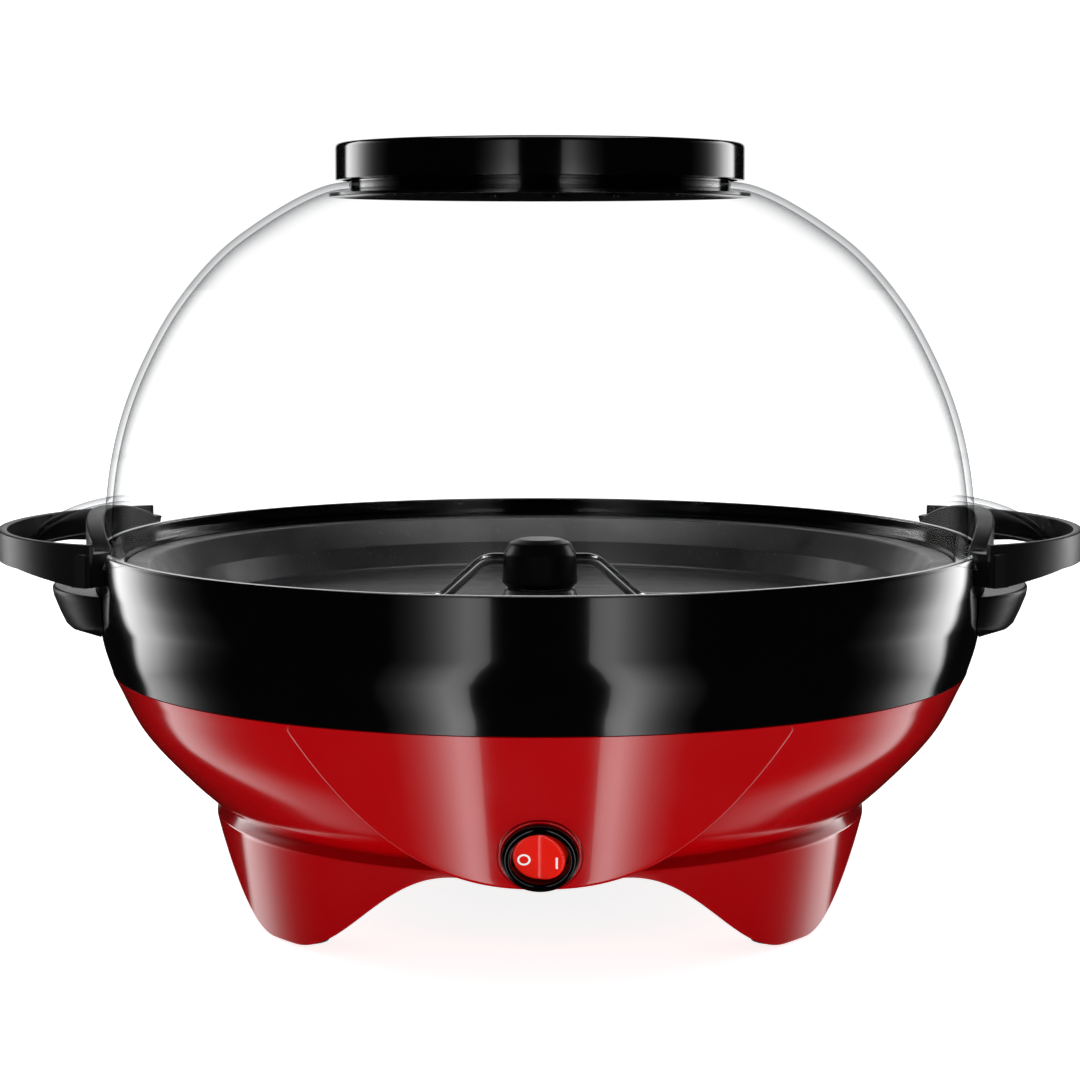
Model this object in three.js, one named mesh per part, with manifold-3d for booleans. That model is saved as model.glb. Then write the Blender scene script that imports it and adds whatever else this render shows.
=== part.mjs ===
// Stirring popcorn maker: red base on four arched legs, black ring, clear dome with two ears and
// loop handles, butter well, cap, heating plate and gear motor.
// Millimetres, +Z up, the front faces -Y, the origin is on the floor under the middle.
import * as THREE from "three";
import { mergeVertices } from "three/addons/utils/BufferGeometryUtils.js";
import Module from "manifold-3d";

const wasm = await Module();
wasm.setup();

// Driving dimensions
const GAP = 0.3;
const FACETS = 40;
const SHELL_WALL = 2.5;
const DOME_WALL = 2.2;

const RING_BOTTOM = 82.3;
const RING_TOP = 123.9;
const RING_RADIUS = 150.4;
const RING_LIP_RADIUS = 147.6;
const HANDLE_FACE_RADIUS = RING_RADIUS + 0.5;

const LEG_FLOOR = 1.2;
const LEG_FOOT_RADIUS = 107;
const LEG_TOP = 31.9;
const LEG_TOP_RADIUS = 111;
const LEDGE_TOP = 34.6;
const ARCH_HEIGHT = 30.3;
const FOOT_FLAT = [47.5, 53.5];
const FRONT_ARCH_SWEEP = 34;
const SIDE_ARCH_SWEEP = 28;

const APRON_LOW = 32.5;
const APRON_TOP = 82;
const APRON_HALF_WIDTH = 77;
const APRON_RADIUS = 127.5;
const APRON_SLOPE = 0.3616;
const APRON_CURVE = 2.4;

const PAD_RADIUS = 6.5;
const PAD_TOP = 3.7;
const PAD_CIRCLE = 97.5;
const PAD_ANGLE = 50;

const COVER_TOP = 27.2;
const COVER_RADIUS = 76;
const COVER_SCREW_CIRCLE = 71;

const SWITCH_HEIGHT = 43.7;
const SWITCH_BEZEL_RADIUS = 11.5;
const SWITCH_BARREL_RADIUS = 9.8;
const ROCKER_RADIUS = 8;
const ROCKER_TILT = 10;
const ROCKER_PIVOT_DEPTH = 1;

const PLATE_FLOOR = 99.6;
const PLATE_UNDERSIDE = 97;
const PLATE_RIM = 117.8;
const ELEMENT_CIRCLE = 78;
const ELEMENT_TUBE = 3.3;
const PAN_FLOOR = 86;

const SHAFT_RADIUS = 4;
const SHAFT_TOP = 112.5;
const HEX_START = 107.3;
const HUB_BOTTOM = 107.6;
const HUB_TOP = 124;
const ROD_RADIUS = 2;
const ROD_REACH = 114;
const ROD_SWEEP_HEIGHT = 103.2;
const ROD_HUB_HEIGHT = 117;

const MOTOR_RADIUS = 26;
const MOTOR_OFFSET = 11;
const MOTOR_BOTTOM = 54;
const MOTOR_TOP = 77.4;
const MODULE = 0.8;
const PINION_TEETH = 10;
const IDLER_TEETH = 24;
const OUTPUT_TEETH = 28;

const GLAND_HEIGHT = 100;
const GLAND_RADIUS = 6;
const GLAND_POCKET = 11;
const GLAND_SEAT = 143.5;

const BASE_HANDLE_CENTRE = 130;
const BASE_HANDLE_REACH = 36.6;
const BASE_HANDLE_HALF_WIDTH = 50;
const BASE_HANDLE_TOP = 109.8;

const EAR_CENTRE = [140, 0, 118];
const EAR_SIZE = [36, 62, 20.4];
const EAR_WALL = 2;
const EAR_EDGE = 121;
const BAND_CENTRE = 125;
const BAND_REACH = 59.2;
const BAND_HALF_WIDTH = 70.5;
const BAND_THICKNESS = 3;
const BAND_TOP = 129.3;
const BAND_BOTTOM = 115.3;
const NECK_TOP = 126;
const BRACKET_HALF_ANGLE = 22.5;
const BRACKET_BOTTOM = 116;
const BRACKET_TOP = 134.6;
const BRACKET_OUTER = 153.4;

const WELL_FLOOR = 240;
const WELL_HOLES = 15;
const WELL_HOLE_CIRCLE = 54.6;
const WELL_HOLE_RADIUS = 4.5;
const COLLAR_RADIUS = 64.1;
const DOME_MOUTH = 64.5;
const CAP_RADIUS = 69.1;
const CAP_BOTTOM = 245.6;
const CAP_TOP = 257.9;
const CAP_WALL = 2.5;

// Materials
const paint = (color, roughness, metalness = 0) =>
  new THREE.MeshStandardMaterial({ color, roughness, metalness });
const RED = () => paint(0xb00818, 0.18);
const GLOSS_BLACK = () => paint(0x0a0a0b, 0.12);
const SATIN_BLACK = () => paint(0x131314, 0.42);
const COATED = () => paint(0x2b2b2d, 0.5);
const STEEL = () => paint(0xb9bcc0, 0.3, 1);
const BRASS = () => paint(0xb98f45, 0.35, 1);
const COPPER = () => paint(0xa8583a, 0.45, 0.8);
const RUBBER = () => paint(0x1a1a1a, 0.9);
const NYLON = () => paint(0xe6e2d6, 0.55);
const LENS_RED = () => paint(0xe01808, 0.12);
const CLEAR = () => {
  const material = paint(0xf4f6f8, 0.05);
  material.transparent = true;
  material.opacity = 0.25;
  return material;
};

// Turns a closed three.js geometry into a solid, with its faces pointing outwards.
function solid(geometry) {
  const bare = geometry.index ? geometry.toNonIndexed() : geometry.clone();
  bare.deleteAttribute("normal");
  bare.deleteAttribute("uv");
  const merged = mergeVertices(bare, 1e-4);
  const position = merged.attributes.position;
  const index = merged.index.array;
  const corner = [new THREE.Vector3(), new THREE.Vector3(), new THREE.Vector3()];
  const faces = [];
  let volume = 0;
  for (let i = 0; i < index.length; i += 3) {
    const [a, b, c] = [index[i], index[i + 1], index[i + 2]];
    if (a === b || b === c || c === a) continue;
    [a, b, c].forEach((vertex, n) => corner[n].fromBufferAttribute(position, vertex));
    volume += corner[0].dot(corner[1].cross(corner[2]));
    faces.push([a, b, c]);
  }
  const order = volume < 0 ? faces.map(([a, b, c]) => [a, c, b]) : faces;
  return new wasm.Manifold(new wasm.Mesh({
    numProp: 3,
    vertProperties: new Float32Array(position.array),
    triVerts: new Uint32Array(order.flat()),
  }));
}

// A solid of revolution about +Z from [radius, height] points.
function turned(points, facets = FACETS) {
  const profile = points.map(([r, z]) => new THREE.Vector2(r, z));
  return solid(new THREE.LatheGeometry(profile, facets).rotateX(Math.PI / 2));
}

const closed = (points) => [...points, points[0]];

const spline = (points, divisions) =>
  new THREE.SplineCurve(points.map(([r, z]) => new THREE.Vector2(r, z)))
    .getPoints(divisions)
    .map((p) => [p.x, p.y]);

// A wall of even thickness behind an outline; the outline's right-hand side is the outside.
function walled(outline, wall) {
  const inner = outline.map(([r, z], i) => {
    const [r0, z0] = outline[Math.max(i - 1, 0)];
    const [r1, z1] = outline[Math.min(i + 1, outline.length - 1)];
    const length = Math.hypot(r1 - r0, z1 - z0);
    return [r - (wall * (z1 - z0)) / length, z + (wall * (r1 - r0)) / length];
  });
  return closed([...outline, ...inner.reverse()]);
}

const rod = (radius, low, high, facets = 20) =>
  turned([[0, low], [radius, low], [radius, high], [0, high]], facets);

const tube = (inner, outer, low, high, facets = 24) =>
  turned(closed([[inner, low], [outer, low], [outer, high], [inner, high]]), facets);

function shapeOf(points) {
  return new THREE.Shape(points.map(([x, y]) => new THREE.Vector2(x, y)));
}

// A plan outline raised from one height to another.
function upright(points, low, high) {
  const geometry = new THREE.ExtrudeGeometry(shapeOf(points), { depth: high - low, bevelEnabled: false });
  return solid(geometry.translate(0, 0, low));
}

// A front-view outline of [x, z] points, carried through from y = near to y = far.
function crosswise(points, near, far) {
  const geometry = new THREE.ExtrudeGeometry(shapeOf(points), { depth: far - near, bevelEnabled: false });
  return solid(geometry.rotateX(Math.PI / 2).translate(0, far, 0));
}

function box(low, high) {
  const size = high.map((value, i) => value - low[i]);
  const middle = high.map((value, i) => (value + low[i]) / 2);
  return solid(new THREE.BoxGeometry(...size).translate(...middle));
}

function ellipsoid(centre, size) {
  const geometry = new THREE.SphereGeometry(1, 24, 12).rotateX(Math.PI / 2);
  return solid(geometry.scale(...size).translate(...centre));
}

const polar = (radius, degrees) => {
  const angle = THREE.MathUtils.degToRad(degrees);
  return [radius * Math.cos(angle), radius * Math.sin(angle)];
};

// Half of an oval in plan, bulging towards +X, closed by a straight line at x = centre.
function halfOval(centre, reach, halfWidth, steps = 24) {
  return Array.from({ length: steps + 1 }, (_, i) => {
    const angle = Math.PI * (i / steps - 0.5);
    return [centre + reach * Math.cos(angle), halfWidth * Math.sin(angle)];
  });
}

// Base
const bowlOutline = spline(
  [[66, 27.5], [92, 28.8], [109.5, 36.9], [124.8, 50.6], [136.4, 64.2], [143.4, 77.9], [145.4, 82]], 9);

// Height of the skirt's lower edge at an angle from the front or back.
function archHeight(angle) {
  const [flatStart, flatEnd] = FOOT_FLAT;
  const rise = angle < flatStart
    ? (flatStart - angle) / FRONT_ARCH_SWEEP
    : Math.max(angle - flatEnd, 0) / SIDE_ARCH_SWEEP;
  return LEG_FLOOR + (ARCH_HEIGHT * (1 - Math.cos(Math.PI * Math.min(rise, 1)))) / 2;
}

const legRadius = (z) =>
  LEG_FOOT_RADIUS + ((LEG_TOP_RADIUS - LEG_FOOT_RADIUS) * (z - LEG_FLOOR)) / (LEG_TOP - LEG_FLOOR);

// One conical skirt whose lower edge rises in four arches, which leaves four legs.
function legSkirt() {
  const profile = closed([
    [LEG_FOOT_RADIUS, LEG_FLOOR], [LEG_TOP_RADIUS, LEDGE_TOP - 1.6], [LEG_TOP_RADIUS - 0.5, LEDGE_TOP - 0.5],
    [LEG_TOP_RADIUS - 1.7, LEDGE_TOP], [103, LEDGE_TOP], [103, LEG_TOP],
    [LEG_TOP_RADIUS - SHELL_WALL, LEG_TOP], [LEG_FOOT_RADIUS - SHELL_WALL, LEG_FLOOR],
  ]).map(([r, z]) => new THREE.Vector2(r, z));
  const geometry = new THREE.LatheGeometry(profile, 48).rotateX(Math.PI / 2);
  const position = geometry.attributes.position;
  for (let i = 0; i < position.count; i += 1) {
    if (position.getZ(i) > LEG_FLOOR + 1) continue;
    const x = position.getX(i);
    const y = position.getY(i);
    const height = archHeight(THREE.MathUtils.radToDeg(Math.atan2(Math.abs(x), Math.abs(y))));
    const spread = legRadius(height) / LEG_FOOT_RADIUS;
    position.setXYZ(i, x * spread, y * spread, height);
  }
  return solid(geometry);
}

// The U-shaped front view of the apron, inset by a margin.
function apronOutline(margin) {
  const half = APRON_HALF_WIDTH - margin;
  const low = APRON_LOW + margin;
  const edge = Array.from({ length: 17 }, (_, i) => {
    const x = half * (i / 8 - 1);
    return [x, low + (APRON_TOP - low) * (Math.abs(x) / half) ** APRON_CURVE];
  });
  return [...edge, [half, APRON_TOP + 1], [-half, APRON_TOP + 1]];
}

function apronBulk(margin) {
  const radius = (z) => APRON_RADIUS + APRON_SLOPE * (z - APRON_LOW) - margin;
  const body = turned(closed([
    [80, APRON_LOW - 5], [radius(APRON_LOW - 5), APRON_LOW - 5],
    [radius(APRON_TOP), APRON_TOP], [80, APRON_TOP],
  ]), 60);
  return body.intersect(crosswise(apronOutline(margin), -160, -60));
}

const switchRadius = APRON_RADIUS + APRON_SLOPE * (SWITCH_HEIGHT - APRON_LOW);
const switchTilt = THREE.MathUtils.radToDeg(Math.atan(APRON_SLOPE));

// Moves a solid made round +Z at the origin on to the apron, with +Z facing out.
const onApron = (part) =>
  part.rotate([90 + switchTilt, 0, 0]).translate([0, -switchRadius, SWITCH_HEIGHT]);

const padSpots = [PAD_ANGLE, 180 - PAD_ANGLE, 180 + PAD_ANGLE, 360 - PAD_ANGLE]
  .map((angle) => polar(PAD_CIRCLE, angle - 90));

const coverScrewSpots = [45, 135, 225, 315].map((angle) => polar(COVER_SCREW_CIRCLE, angle));

// Everything inside the bowl's inner face.
function bowlSpace() {
  const inner = walled(bowlOutline, SHELL_WALL).slice(bowlOutline.length, -1).reverse();
  return turned([[0, inner[0][1]], ...inner, [0, inner[inner.length - 1][1]]]);
}

function baseShell() {
  const apron = apronBulk(0).subtract(bowlSpace());
  let shell = turned(walled(bowlOutline, SHELL_WALL)).add(legSkirt());
  shell = shell.add(apron).subtract(apronBulk(SHELL_WALL));
  for (const [x, y] of padSpots) {
    shell = shell.add(rod(PAD_RADIUS + 1.5, PAD_TOP + GAP, 31).translate([x, y, 0]));
  }
  for (const [x, y] of coverScrewSpots) {
    shell = shell.subtract(rod(1.7, 20, 40, 12).translate([x, y, 0]));
  }
  const aboveSeam = rod(200, APRON_TOP, RING_TOP);
  return shell.subtract(aboveSeam).subtract(onApron(rod(SWITCH_BARREL_RADIUS + GAP, -25, 10, 36)));
}

function ringHousing() {
  const ring = turned(closed([
    [145.4, RING_BOTTOM], [148.4, 91.5], [150.05, 105.2], [RING_RADIUS, RING_TOP - 1],
    [RING_RADIUS - 0.6, RING_TOP], [RING_LIP_RADIUS + 0.6, RING_TOP], [RING_LIP_RADIUS, RING_TOP - 0.6],
    [RING_LIP_RADIUS, 119.2], [141, 119.2], [141, 115], [134, 115], [134, 112.5], [147.5, 112.5],
    [147.2, 105.2], [145.7, 91.5], [139.6, 84], [137, 77], [138.8, 77], [141.2, RING_BOTTOM],
  ].reverse()));
  const boss = sideways(rod(GLAND_POCKET + 3, GLAND_SEAT - 3, 146), GLAND_HEIGHT);
  const pocket = sideways(rod(GLAND_POCKET, GLAND_SEAT, 160), GLAND_HEIGHT);
  const hole = sideways(rod(GLAND_RADIUS + GAP, 130, 160), GLAND_HEIGHT);
  return ring.add(boss).subtract(pocket).subtract(hole);
}

// Lays a solid made round +Z along +Y at a height, which is how it sits at the back of the ring.
const sideways = (part, height) => part.rotate([-90, 0, 0]).translate([0, 0, height]);

function cordGland() {
  const profile = closed([
    [3.4, GLAND_SEAT - 6], [GLAND_RADIUS, GLAND_SEAT - 6], [GLAND_RADIUS, GLAND_SEAT + GAP],
    [9, GLAND_SEAT + GAP], [8.4, GLAND_SEAT + 2.5], [5.4, GLAND_SEAT + 6], [3.4, GLAND_SEAT + 6],
  ]);
  return sideways(turned(profile, 20), GLAND_HEIGHT);
}

function baseHandle() {
  const plan = upright(halfOval(BASE_HANDLE_CENTRE, BASE_HANDLE_REACH, BASE_HANDLE_HALF_WIDTH), 85, 110);
  const front = crosswise([
    [140, BASE_HANDLE_TOP], [BASE_HANDLE_CENTRE + BASE_HANDLE_REACH, BASE_HANDLE_TOP],
    [166, 106.4], [163.9, 101.3], [161.8, 97], [159.6, 95.1], [140, 89.8],
  ], -60, 60);
  const ringSpace = turned([
    [0, 80], [145.2 + GAP, 80], [148.5 + GAP, 91.5], [150.2 + GAP, 105.2],
    [RING_RADIUS + GAP, 112], [0, 112],
  ]);
  return plan.intersect(front).subtract(ringSpace);
}

function bottomCover() {
  const rib = 1.2;
  let cover = turned([[0, COVER_TOP - 2], [COVER_RADIUS - 1, COVER_TOP - 2], [COVER_RADIUS, COVER_TOP - 1],
    [COVER_RADIUS, COVER_TOP], [0, COVER_TOP]]);
  for (const side of [-1, 1]) {
    for (let slot = 0; slot < 5; slot += 1) {
      const x = side * (14 + slot * 8);
      const half = 26 - slot * 3;
      cover = cover.subtract(box([x - rib, -half, 20], [x + rib, half, 30]));
    }
  }
  for (const [x, y] of coverScrewSpots) {
    cover = cover.subtract(rod(1.7, 20, 30, 12).translate([x, y, 0]));
  }
  return cover;
}

const coverScrew = () =>
  turned([[0, 23], [2.6, 23.3], [3.2, 24.1], [3.2, 24.9], [1.4, 24.9], [1.4, 33], [0, 34]], 12);

const footPad = () =>
  turned([[0, 0], [PAD_RADIUS - 0.7, 0], [PAD_RADIUS, 0.7], [PAD_RADIUS, PAD_TOP], [0, PAD_TOP]], 24);

// Switch
function switchBody() {
  const profile = [
    [0, -13], [SWITCH_BARREL_RADIUS, -13], [SWITCH_BARREL_RADIUS, 0.5], [SWITCH_BEZEL_RADIUS, 0.5],
    [SWITCH_BEZEL_RADIUS, 1.4], [10.6, 2.4], [9.2, 2.4], [8.6, 1.8], [8.6, -8], [0, -8],
  ];
  const spades = [-5, 5].map((x) => box([x - 0.4, -3, -20], [x + 0.4, 3, -12.9]));
  return onApron(spades.reduce((body, spade) => body.add(spade), turned(profile, 36)));
}

function rocker() {
  const dip = ROCKER_RADIUS * Math.tan(THREE.MathUtils.degToRad(ROCKER_TILT));
  const front = [
    [-ROCKER_RADIUS, -2.4], [ROCKER_RADIUS, -2.4], [ROCKER_RADIUS, 1.2 + dip],
    [0, 1.2], [-ROCKER_RADIUS, 1.2 + dip],
  ];
  const wedge = crosswise(front, -ROCKER_RADIUS, ROCKER_RADIUS);
  const puck = wedge.intersect(rod(ROCKER_RADIUS, -4, 4, 36));
  const tilted = puck.rotate([0, -ROCKER_TILT, 0]).translate([0, 0, -ROCKER_PIVOT_DEPTH]);
  return onApron(tilted);
}

// Heating
function heatingPlate() {
  return turned(closed([
    [140.5, 115.3], [140.5, PLATE_RIM], [132.8, PLATE_RIM], [126, 109], [121.3, 100.8], [118.5, PLATE_FLOOR],
    [14.5, PLATE_FLOOR], [12, 107], [9, 107], [9, 92], [12.5, 92], [12.5, PLATE_UNDERSIDE],
    [118, PLATE_UNDERSIDE], [120.5, 97.8], [124.5, 106], [131.2, 115.3],
  ]));
}

const shaftBush = () =>
  turned(closed([[4.4, 90], [8.7, 90], [8.7, 107.2], [4.4, 107.2]]), 24);

function reflectorPan() {
  let pan = turned(closed([
    [22, PAN_FLOOR - 1.2], [127, PAN_FLOOR - 1.2], [128.5, 88], [133, 108], [131.6, 108], [127.2, 89],
    [126, PAN_FLOOR], [22, PAN_FLOOR],
  ]));
  for (const side of [-1, 1]) {
    pan = pan.subtract(rod(5.5, 80, 90, 16).translate([side * ELEMENT_END_X, ELEMENT_END_Y, 0]));
    pan = pan.subtract(rod(2.3, 80, 90, 12).translate([side * SPACER_X, 0, 0]));
  }
  return pan;
}

const ELEMENT_HEIGHT = PLATE_UNDERSIDE - GAP - ELEMENT_TUBE;
const [ELEMENT_END_X, ELEMENT_END_Y] = polar(ELEMENT_CIRCLE, 78);
const SPACER_X = 36;

// A sheathed heater tube in an open circle, with both ends turned down through the pan.
function heatingElement() {
  const arc = [];
  for (let angle = 82; angle >= -262; angle -= 8) {
    arc.push(new THREE.Vector3(...polar(ELEMENT_CIRCLE, angle), ELEMENT_HEIGHT));
  }
  const last = new THREE.Vector3(-ELEMENT_END_X, ELEMENT_END_Y, 72);
  const first = new THREE.Vector3(ELEMENT_END_X, ELEMENT_END_Y, 72);
  const route = [first, first.clone().setZ(80), first.clone().setZ(87), ...arc.slice(2, -2),
    last.clone().setZ(87), last.clone().setZ(80), last];
  const path = new THREE.CatmullRomCurve3(route, false, "centripetal");
  const section = shapeOf(Array.from({ length: 8 }, (_, i) => polar(ELEMENT_TUBE, i * 45)));
  return solid(new THREE.ExtrudeGeometry(section, { steps: 44, extrudePath: path }));
}

const thermostat = () =>
  turned([[0, PAN_FLOOR + 1], [4, PAN_FLOOR + 1], [9, PAN_FLOOR + 3], [9, PLATE_UNDERSIDE - 3],
    [8, PLATE_UNDERSIDE - GAP], [0, PLATE_UNDERSIDE - GAP]], 20);

const thermalFuse = () =>
  turned([[0, -8], [0.6, -8], [0.6, -5], [2, -4], [2, 4], [0.6, 5], [0.6, 8], [0, 8]], 10);

// Motor and gears
function gear(teeth, low, high, bore, turn) {
  const pitch = (MODULE * teeth) / 2;
  const step = 360 / teeth;
  const outline = [];
  for (let tooth = 0; tooth < teeth; tooth += 1) {
    const middle = tooth * step + turn;
    outline.push(polar(pitch - 1.05 * MODULE, middle - step * 0.3));
    outline.push(polar(pitch + 0.75 * MODULE, middle - step * 0.11));
    outline.push(polar(pitch + 0.75 * MODULE, middle + step * 0.11));
    outline.push(polar(pitch - 1.05 * MODULE, middle + step * 0.3));
  }
  const wheel = upright(outline, low, high);
  return bore ? wheel.subtract(rod(bore, low - 1, high + 1, 16)) : wheel;
}

const firstDistance = (MODULE * (PINION_TEETH + IDLER_TEETH)) / 2;
const secondDistance = (MODULE * (PINION_TEETH + OUTPUT_TEETH)) / 2;

// The idler's axis lies where both gear distances are met.
const IDLER_Y = (secondDistance ** 2 - firstDistance ** 2 + MOTOR_OFFSET ** 2) / (2 * MOTOR_OFFSET);
const IDLER_X = Math.sqrt(secondDistance ** 2 - IDLER_Y ** 2);

const outputToIdler = THREE.MathUtils.radToDeg(Math.atan2(IDLER_Y, IDLER_X));
const rotorToIdler = THREE.MathUtils.radToDeg(Math.atan2(IDLER_Y - MOTOR_OFFSET, IDLER_X));

function driveShaft() {
  const shaft = rod(SHAFT_RADIUS, 70.3, HEX_START, 24);
  const hex = rod(SHAFT_RADIUS, HEX_START - 0.1, SHAFT_TOP, 6);
  return gear(OUTPUT_TEETH, 70.9, 74.1, 0, outputToIdler).add(shaft).add(hex);
}

// The wheel meets the rotor's pinion, and the small gear above it meets the output gear.
function idlerGears() {
  const small = gear(PINION_TEETH, 67.2, 74.4, 0, outputToIdler + 180 + 180 / PINION_TEETH);
  const large = gear(IDLER_TEETH, 67.2, 69.8, 0, rotorToIdler + 180);
  return small.add(large).subtract(rod(1.5, 60, 80, 16));
}

function rotor() {
  const magnet = rod(11, 56, 65.8, 24).add(rod(2.6, 65.7, 67.2, 16));
  const pinion = gear(PINION_TEETH, 67.1, 70, 0, rotorToIdler + 180 / PINION_TEETH);
  return magnet.add(pinion).subtract(rod(1.5, 50, 80, 16));
}

const motorCan = () =>
  turned([[0, MOTOR_BOTTOM], [MOTOR_RADIUS, MOTOR_BOTTOM], [MOTOR_RADIUS, MOTOR_TOP],
    [MOTOR_RADIUS - 1, MOTOR_TOP], [MOTOR_RADIUS - 1, MOTOR_BOTTOM + 1], [0, MOTOR_BOTTOM + 1]], 40);

const statorCoil = () => tube(12, 24, MOTOR_BOTTOM + 1.3, 66, 32);

const rotorAxle = () => rod(1, MOTOR_BOTTOM + 1.3, 70.5, 12);

const idlerAxle = () => rod(1, 66.4, MOTOR_TOP, 12);

function motorCover() {
  const lid = rod(MOTOR_RADIUS, MOTOR_TOP + GAP, MOTOR_TOP + 1.8, 40).translate([0, MOTOR_OFFSET, 0]);
  return lid.subtract(rod(SHAFT_RADIUS + 1, 70, 90, 24));
}

function motorBracket() {
  const low = MOTOR_TOP + 2.1;
  const bar = box([-44, -14, low], [44, 14, low + 1.5]);
  const disc = rod(24, low, low + 1.5, 32).translate([0, 6, 0]);
  let bracket = bar.add(disc).subtract(rod(SHAFT_RADIUS + 2, 70, 90, 24));
  for (const side of [-1, 1]) {
    bracket = bracket.subtract(rod(2.3, 70, 90, 12).translate([side * SPACER_X, 0, 0]));
  }
  return bracket;
}

const spacer = () => tube(2.3, 5, MOTOR_TOP + 3.9, PAN_FLOOR - 1.5, 16);

const spacerBolt = () =>
  turned([[0, 76.2], [3.4, 76.2], [3.4, 79.2], [1.8, 79.2], [1.8, 87.5], [0, 88.5]], 12);

// Stirrer
const rodRoute = [
  [-ROD_REACH, ROD_SWEEP_HEIGHT + 5], [-ROD_REACH + 9, ROD_SWEEP_HEIGHT], [-34, ROD_SWEEP_HEIGHT],
  [-19, ROD_HUB_HEIGHT], [19, ROD_HUB_HEIGHT], [34, ROD_SWEEP_HEIGHT],
  [ROD_REACH - 9, ROD_SWEEP_HEIGHT], [ROD_REACH, ROD_SWEEP_HEIGHT + 5],
];

function bentRod(radius) {
  const points = rodRoute.map(([x, z]) => new THREE.Vector3(x, 0, z));
  const curve = new THREE.CatmullRomCurve3(points, false, "catmullrom", 0.2);
  const section = shapeOf(Array.from({ length: 8 }, (_, i) => polar(radius, i * 45)));
  return solid(new THREE.ExtrudeGeometry(section, { steps: 28, extrudePath: curve }));
}

function stirrerHub() {
  const hub = turned([
    [0, HUB_BOTTOM], [11.5, HUB_BOTTOM], [13, HUB_BOTTOM + 1.5], [12.4, 119], [10.5, 122.6],
    [7, HUB_TOP], [0, HUB_TOP],
  ], 32);
  const socket = rod(SHAFT_RADIUS + 0.6, HUB_BOTTOM - 1, SHAFT_TOP + 0.6, 6);
  return hub.subtract(socket).subtract(bentRod(ROD_RADIUS + 0.35));
}

// Dome, handles, butter well and cap
const domeOutline = spline(
  [[147.2, 119.6], [146.9, 135.8], [144.7, 152.9], [140.2, 170], [133, 187], [123.1, 204.1], [108.7, 221.1],
    [95.5, 231.4], [80, 240.6], [71, 244.1], [DOME_MOUTH, 245]], 11);

const shrunk = (size, by) => size.map((value) => value - by);
const above = (height) => box([100, -100, height], [200, 100, 200]);
const below = (height) => box([100, -100, 80], [200, 100, height]);

// Space that the ring's rim takes at the height where dome and handles come down over it.
const rimSpace = () => rod(HANDLE_FACE_RADIUS, 80, RING_TOP + 0.4, FACETS);

function ear() {
  const hood = ellipsoid(EAR_CENTRE, EAR_SIZE).subtract(ellipsoid(EAR_CENTRE, shrunk(EAR_SIZE, EAR_WALL)));
  return hood.intersect(above(EAR_EDGE)).subtract(rod(146, 100, 150, FACETS)).subtract(rimSpace());
}

function dome() {
  return turned(walled(domeOutline, DOME_WALL)).add(ear()).add(ear().mirror([1, 0, 0]));
}

function loopBand() {
  const outer = upright(halfOval(BAND_CENTRE, BAND_REACH, BAND_HALF_WIDTH), 110, 132);
  const inner = upright(
    halfOval(BAND_CENTRE, BAND_REACH - BAND_THICKNESS, BAND_HALF_WIDTH - BAND_THICKNESS), 109, 133);
  const side = crosswise([
    [143, BAND_TOP], [186, BAND_TOP - 0.3], [186, 118.8], [171, 118.8], [157, 116.6],
    [149, BAND_BOTTOM], [143, BAND_BOTTOM],
  ], -80, 80);
  return outer.subtract(inner).intersect(side);
}

// Wall that hugs the dome above the rim and the ring below it.
function domeBracket() {
  const wall = turned(closed([
    [HANDLE_FACE_RADIUS, BRACKET_BOTTOM], [BRACKET_OUTER, BRACKET_BOTTOM], [BRACKET_OUTER, BRACKET_TOP],
    [RING_LIP_RADIUS, BRACKET_TOP], [RING_LIP_RADIUS, RING_TOP + 0.4], [HANDLE_FACE_RADIUS, RING_TOP + 0.4],
  ]), 60);
  const wedge = upright([[0, 0], polar(200, -BRACKET_HALF_ANGLE), polar(200, BRACKET_HALF_ANGLE)], 100, 150);
  const sector = wall.intersect(wedge);
  const underEar = ellipsoid(EAR_CENTRE, shrunk(EAR_SIZE, EAR_WALL + 0.4));
  return sector.intersect(below(EAR_EDGE - 0.4)).add(sector.intersect(underEar));
}

function bandNeck(side) {
  const plan = [[137, 55], [140, 62.5], [144.5, 67], [150, 63], [147, 51]].map(([x, y]) => [x, side * y]);
  return upright(plan, BRACKET_BOTTOM, NECK_TOP);
}

function bowlHandle() {
  const earSpace = ellipsoid(EAR_CENTRE, shrunk(EAR_SIZE, -0.4)).intersect(above(EAR_EDGE - 0.4));
  const domeSpace = rod(RING_LIP_RADIUS, 100, 150, FACETS);
  const necks = bandNeck(1).add(bandNeck(-1)).subtract(rimSpace()).subtract(domeSpace);
  return loopBand().add(necks).subtract(earSpace).add(domeBracket());
}

function ventDisc() {
  let disc = turned([
    [0, WELL_FLOOR + 7], [37.6, WELL_FLOOR + 7], [39.6, WELL_FLOOR], [71.3, WELL_FLOOR],
    [71.3, WELL_FLOOR + 1.2],
    [COLLAR_RADIUS, WELL_FLOOR + 1.9], [COLLAR_RADIUS, 255.1], [62.2, 255.1], [62.2, WELL_FLOOR + 1.9],
    [41.4, WELL_FLOOR + 1.9], [39.3, WELL_FLOOR + 9], [0, WELL_FLOOR + 9],
  ]);
  for (let hole = 0; hole < WELL_HOLES; hole += 1) {
    const [x, y] = polar(WELL_HOLE_CIRCLE, (360 / WELL_HOLES) * (hole + 0.5));
    disc = disc.subtract(rod(WELL_HOLE_RADIUS, 235, 248, 12).translate([x, y, 0]));
  }
  return disc;
}

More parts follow.
